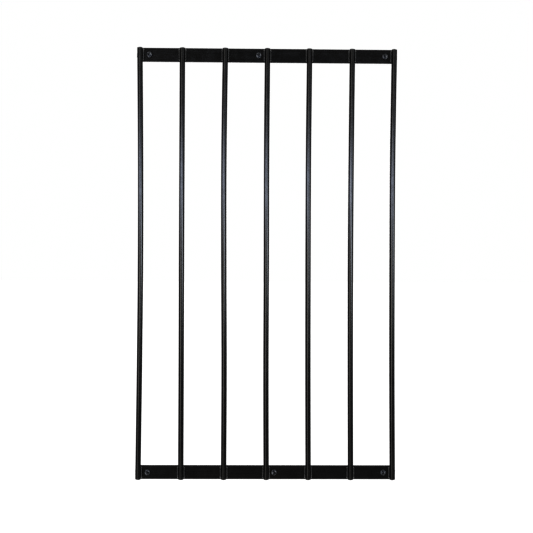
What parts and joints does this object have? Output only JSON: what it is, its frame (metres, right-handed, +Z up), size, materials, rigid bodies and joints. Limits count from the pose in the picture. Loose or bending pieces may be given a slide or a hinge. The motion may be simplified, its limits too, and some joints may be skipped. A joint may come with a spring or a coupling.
{
  "type": "window security bar",
  "caption": "Fixed window guard: round upright bars welded across two flat rails, fixed to the wall round a window by one-way pan-head screws.",
  "frame": {"origin": "centre of the guard on the wall plane, midway between the four corner screws", "axes": "+X to the right along the rails, +Y into the wall along the screws, +Z up along the bars; the front faces -Y"},
  "size_m": [0.6039, 0.062, 1.0001],
  "materials": {
    "bar_paint": "semi-gloss black powder coat",
    "rail_paint": "semi-gloss black powder coat",
    "weld_paint": "semi-gloss black powder coat over rippled weld metal",
    "screw_steel": "black zinc plate, worn lighter on the raised edges"
  },
  "bodies": {
    "root": {"bar_1": "bar_paint", "bar_2": "bar_paint", "bar_3": "bar_paint", "bar_4": "bar_paint", "bar_5": "bar_paint", "bar_6": "bar_paint", "bar_7": "bar_paint", "top_rail": "rail_paint", "bottom_rail": "rail_paint", "screw_top_left": "screw_steel", "screw_top_middle": "screw_steel", "screw_top_right": "screw_steel", "screw_bottom_left": "screw_steel", "screw_bottom_middle": "screw_steel", "screw_bottom_right": "screw_steel", "weld_top_1_left": "weld_paint", "weld_top_1_right": "weld_paint", "weld_top_2_left": "weld_paint", "weld_top_2_right": "weld_paint", "weld_top_3_left": "weld_paint", "weld_top_3_right": "weld_paint", "weld_top_4_left": "weld_paint", "weld_top_4_right": "weld_paint", "weld_top_5_left": "weld_paint", "weld_top_5_right": "weld_paint", "weld_top_6_left": "weld_paint", "weld_top_6_right": "weld_paint", "weld_top_7_left": "weld_paint", "weld_top_7_right": "weld_paint", "weld_bottom_1_left": "weld_paint", "weld_bottom_1_right": "weld_paint", "weld_bottom_2_left": "weld_paint", "weld_bottom_2_right": "weld_paint", "weld_bottom_3_left": "weld_paint", "weld_bottom_3_right": "weld_paint", "weld_bottom_4_left": "weld_paint", "weld_bottom_4_right": "weld_paint", "weld_bottom_5_left": "weld_paint", "weld_bottom_5_right": "weld_paint", "weld_bottom_6_left": "weld_paint", "weld_bottom_6_right": "weld_paint", "weld_bottom_7_left": "weld_paint", "weld_bottom_7_right": "weld_paint"}
  },
  "joints": []
}
